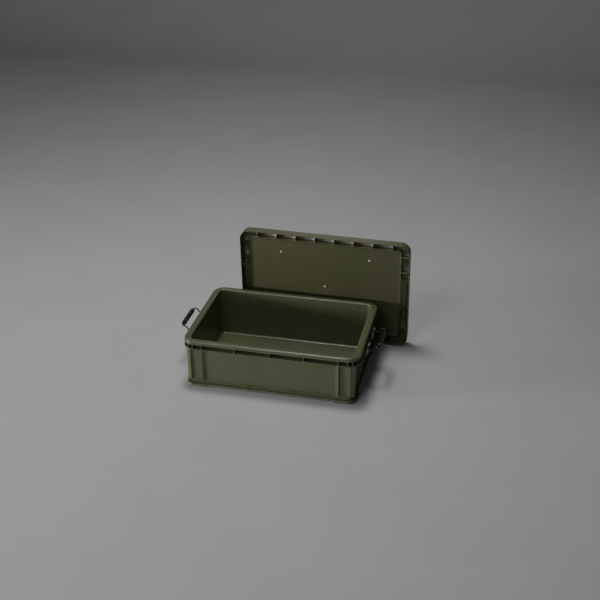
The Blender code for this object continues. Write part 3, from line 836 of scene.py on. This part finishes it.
def bail_path(side):
    """Half the bail, from its pin end to the middle of the grip, about the hinge axis."""
    points = [
        Vector((0, PIN_END_Y, 0)),
        Vector((0, PIN_END_Y + 0.006, 0)),
        Vector((0, ARM_Y - 0.006, 0)),
        Vector((0.0001, ARM_Y - 0.0012, -0.0018)),
        *(Vector((side * x, ARM_Y, z)) for x, z in BAIL_ARM),
        Vector((side * (REACH - 0.0016), ARM_Y - 0.0014, 0)),
        Vector((side * REACH, ARM_Y - 0.0060, 0)),
        Vector((side * REACH, GRIP_LENGTH / 4, 0)),
        Vector((side * REACH, 0, 0)),
    ]
    return smooth_path(points, 8)


def bail(name, side, axis, finish):
    """The bent wire, a round curve on the hinge axis from one pin to the other."""
    half = bail_path(side)
    other = [Vector((p.x, -p.y, p.z)) for p in reversed(half[:-1])]
    curve = bpy.data.curves.new(name, "CURVE")
    curve.dimensions = "3D"
    curve.bevel_depth = WIRE
    curve.bevel_resolution = 8
    curve.use_fill_caps = True
    spline = curve.splines.new("POLY")
    path = half + other
    spline.points.add(len(path) - 1)
    for point, place in zip(spline.points, path):
        point.co = (*place, 1.0)
    curve.materials.append(finish)
    made = bpy.data.objects.new(name, curve)
    made.location = axis
    bpy.context.scene.collection.objects.link(made)
    return made


def squared(value):
    """A sine or cosine pulled outwards, which makes a round section squarer."""
    return math.copysign(abs(value) ** 0.8, value)


def grip(name, side, axis, finish):
    """A grip with two rows of round knobs on each face, collars at its ends and a bore for the wire."""
    builder = bmesh.new()
    stations = 14 * GRIP_KNOBS
    around = 48
    bore = WIRE + 0.0004
    turns = [2 * math.pi * j / around for j in range(around)]
    rings = []
    for i in range(stations + 1):
        share = i / stations
        y = GRIP_LENGTH * (share - 0.5)
        from_end = min(share, 1 - share) * GRIP_LENGTH
        in_knobs = from_end > GRIP_COLLAR
        end = math.sqrt(max(0.0, 1 - (1 - min(1.0, from_end / GRIP_END_ROUND)) ** 2)) * 0.22 + 0.78
        along = (from_end - GRIP_COLLAR) / (GRIP_LENGTH - 2 * GRIP_COLLAR) * GRIP_KNOBS
        knob = math.sin(math.pi * (along % 1.0)) ** 0.7 if in_knobs else 0.35
        ring = []
        for turn in turns:
            across = squared(math.cos(turn))
            up = squared(math.sin(turn))
            # Each knob swells at its row's crown, and a valley runs between the two rows
            crown = math.exp(-((abs(across) - 0.56) / 0.30) ** 2)
            size = end * (0.76 + 0.24 * knob * (0.35 + 0.65 * crown))
            valley = 1 - 0.10 * math.exp(-((across / 0.16) ** 2)) * (1 if in_knobs else 0)
            x = GRIP_WIDTH / 2 * across * size
            ring.append(builder.verts.new((x, y, GRIP_THICK / 2 * up * size * valley)))
        rings.append(ring)
    for y in (GRIP_LENGTH / 2, -GRIP_LENGTH / 2):
        rings.append([builder.verts.new((bore * math.cos(t), y, bore * math.sin(t))) for t in turns])
    for first, second in zip(rings, rings[1:]):
        bridge(builder, first, second)
    bridge(builder, rings[-1], rings[0])
    made = add_object(name, builder, finish)
    made.location = Vector(axis) + Vector((side * REACH, 0, 0))
    made.data.shade_smooth()
    made.data.set_sharp_from_angle(angle=math.radians(60))
    return made


def bracket(name, axis, side, y, rivet_heights, bottom, finish):
    """A steel plate whose top is rolled outwards into the knuckle."""
    outer = KNUCKLE_BORE + BRACKET_THICK
    steps = 48
    turns = [math.pi - KNUCKLE_SWEEP * i / steps for i in range(steps + 1)]
    outline = [(-outer, bottom - axis.z)]
    outline += [(outer * math.cos(t), outer * math.sin(t)) for t in turns]
    outline += [(KNUCKLE_BORE * math.cos(t), KNUCKLE_BORE * math.sin(t)) for t in reversed(turns)]
    outline.append((-KNUCKLE_BORE, bottom - axis.z))
    builder = bmesh.new()
    face = builder.faces.new([builder.verts.new((side * x, -BRACKET_WIDE / 2, z)) for x, z in outline])
    pulled = bmesh.ops.extrude_face_region(builder, geom=[face])["geom"]
    moved = [item for item in pulled if isinstance(item, bmesh.types.BMVert)]
    bmesh.ops.translate(builder, verts=moved, vec=(0, BRACKET_WIDE, 0))
    made = add_object(name, builder, finish)
    hole_depth = 0.01
    for z in rivet_heights:
        hole = cylinder("hole", RIVET_HOLE, hole_depth, along_x(-side * outer, 0, z - axis.z), 24)
        combine(made, hole, "DIFFERENCE")
    eased(made, STEEL_EASE)
    made.location = (axis.x, y, axis.z)
    return made


def rivet(name, place, side, finish):
    """A rivet along X: domed head outside, shank through bracket and pad, and the head inside."""
    inside = BRACKET_THICK + 2 * RIVET_SEAT + PAD_THICK + 0.0004
    turns = [math.pi / 2 * i / 8 for i in range(9)]
    profile = [(RIVET_SEAT + RIVET_DOME * math.cos(t), RIVET_HEAD * math.sin(t)) for t in turns]
    profile += [(RIVET_SEAT, RIVET_SHANK), (-inside, RIVET_SHANK)]
    profile += [(-inside - x, radius) for x, radius in RIVET_INNER_HEAD]
    made = spun(name, profile, finish)
    made.location = place
    made.rotation_euler = (0, 0, 0 if side > 0 else math.pi)
    return made


def handles(finishes):
    """Both handles with their brackets and rivets, on the hinge axes and rivet places of the CAD."""
    hinges = {joint["name"]: Vector(joint["pos_m"]) for joint in frame["joints"] if "pos_m" in joint}
    for side_name, side in SIDES:
        axis = hinges[f"{side_name}_handle_hinge"]
        body = f"{side_name}_handle"
        piece = bail(f"{side_name}_wire_bail", side, axis, finishes["wire"])
        belongs(piece, body, "black_wire", f"{side_name}_bail")
        piece = grip(f"{side_name}_knobbed_grip", side, axis, finishes["grip"])
        belongs(piece, body, "black_grip", f"{side_name}_grip")
        for end_name, end in (("front", -1), ("back", 1)):
            place = f"{side_name}_{end_name}"
            rivets = [f"{place}_{level}_rivet" for level in ("lower", "upper")]
            centres = [sum(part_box(node), Vector()) / 2 for node in rivets]
            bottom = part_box(f"{place}_bracket")[0].z
            y = end * BRACKET_Y
            heights = [centre.z for centre in centres]
            piece = bracket(f"{place}_rolled_bracket", axis, side, y, heights, bottom, finishes["zinc"])
            belongs(piece, "tote", "zinc_steel", f"{place}_bracket")
            for node, centre in zip(rivets, centres):
                spot = Vector((axis.x - side * KNUCKLE_BORE, y, centre.z))
                piece = rivet(f"{node}_domed", spot, side, finishes["rivet"])
                belongs(piece, "tote", "rivet_steel", node)


def rivet_places():
    """The centres of the CAD rivets, always in the same order."""
    found = []
    for node in frame["nodes"]:
        if node.endswith("_rivet"):
            low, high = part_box(node)
            found.append((low + high) / 2)
    return sorted(found, key=tuple)


# ---------------------------------------------------------------- studio


def studio_floor():
    """A seamless pale floor that curves up behind the object."""
    builder = bmesh.new()
    half = 7.0
    back = 3.2
    sweep = 1.6
    top = 5.0
    turns = [math.pi / 2 * i / 16 for i in range(1, 17)]
    profile = [(-half, 0.0), (back, 0.0)]
    profile += [(back + sweep * math.sin(t), sweep - sweep * math.cos(t)) for t in turns]
    profile.append((back + sweep, top))
    rows = [(builder.verts.new((-half, y, z)), builder.verts.new((half, y, z))) for y, z in profile]
    for first, second in zip(rows, rows[1:]):
        builder.faces.new((first[0], first[1], second[1], second[0]))
    made = Nodes("pale_paper")
    made.link(made.ramp(made.noise(3, 4), [(0.3, (0.385, 0.385, 0.394)), (0.7, (0.410, 0.410, 0.419))]),
              made.shader.inputs["Base Color"])
    made.shader.inputs["Roughness"].default_value = 0.85
    made.bump([(made.noise(400, 3), 0.05, 0.0003)])
    floor = add_object("studio_floor", builder, made.material)
    floor.data.shade_smooth()


def area_light(name, place, size, power, color=(1, 1, 1)):
    """A softbox of (width, height) in metres and a power in watts, aimed at the tote."""
    light = bpy.data.lights.new(name, "AREA")
    light.shape = "RECTANGLE"
    light.size, light.size_y = size
    light.energy = power
    light.color = color
    made = bpy.data.objects.new(name, light)
    made.location = place
    made.rotation_euler = (STUDIO_AIM - Vector(place)).to_track_quat("-Z", "Y").to_euler()
    bpy.context.scene.collection.objects.link(made)


def lights():
    """A warm softbox overhead, a cooler one in front, low fills, a strip behind and a dim world."""
    area_light("overhead_softbox", (-0.2, 0.3, 2.4), (0.6, 0.6), 29.0, (1.0, 0.985, 0.96))
    area_light("front_softbox", (-0.45, -2.2, 2.2), (0.7, 1.0), 14.5)
    area_light("low_left_fill", (-3.15, -1.45, 0.42), (0.7, 0.4), 92.0)
    area_light("low_front_fill", (-0.85, -3.3, 0.45), (0.7, 0.4), 11.0)
    area_light("back_strip", (-0.40, 3.2, 1.8), (1.0, 0.5), 3.5)
    world = bpy.data.worlds.new("studio")
    world.use_nodes = True
    background = world.node_tree.nodes["Background"]
    background.inputs["Color"].default_value = (0.92, 0.95, 1.0, 1.0)
    background.inputs["Strength"].default_value = 0.09
    bpy.context.scene.world = world


def camera():
    """The photograph's view: where it looks from, how far off and its slight tilt."""
    azimuth = math.radians(13.29)
    elevation = math.radians(28.42)
    roll = math.radians(-0.457)
    aim = Vector((-0.0460, 0.4226, 0.0))
    distance = 3.719
    back = Vector((math.sin(azimuth) * math.cos(elevation), -math.cos(azimuth) * math.cos(elevation),
                   math.sin(elevation)))
    right = Vector((math.cos(azimuth), math.sin(azimuth), 0))
    up = back.cross(right)
    rolled_right = right * math.cos(roll) + up * math.sin(roll)
    rolled_up = up * math.cos(roll) - right * math.sin(roll)
    data = bpy.data.cameras.new("photo_view")
    data.sensor_width = 36.0
    data.lens = 63.92  # millimetres, as the sensor's width
    data.clip_end = 30.0
    made = bpy.data.objects.new("photo_view", data)
    placed = Matrix((rolled_right, rolled_up, back)).transposed().to_4x4()
    placed.translation = aim + back * distance
    made.matrix_world = placed
    bpy.context.scene.collection.objects.link(made)
    bpy.context.scene.camera = made


def main():
    camera()
    lights()
    studio_floor()
    olive = moulded_plastic("olive_polypropylene", (0.081, 0.089, 0.044))
    olive_lid = moulded_plastic("olive_lid_polypropylene", (0.069, 0.072, 0.033), 0.42)
    tote(olive, rivet_places())
    lid_place = lid(olive_lid)
    gate_marks(lid_place, gate_plastic("gate_stub"))
    handles({
        "wire": coated_wire("black_coated_wire"),
        "grip": grip_plastic("black_grip_plastic"),
        "zinc": plated_steel("zinc_plate", (0.66, 0.67, 0.69)),
        "rivet": plated_steel("rivet_zinc", (0.72, 0.73, 0.74)),
    })


main()
bpy.context.view_layer.update()
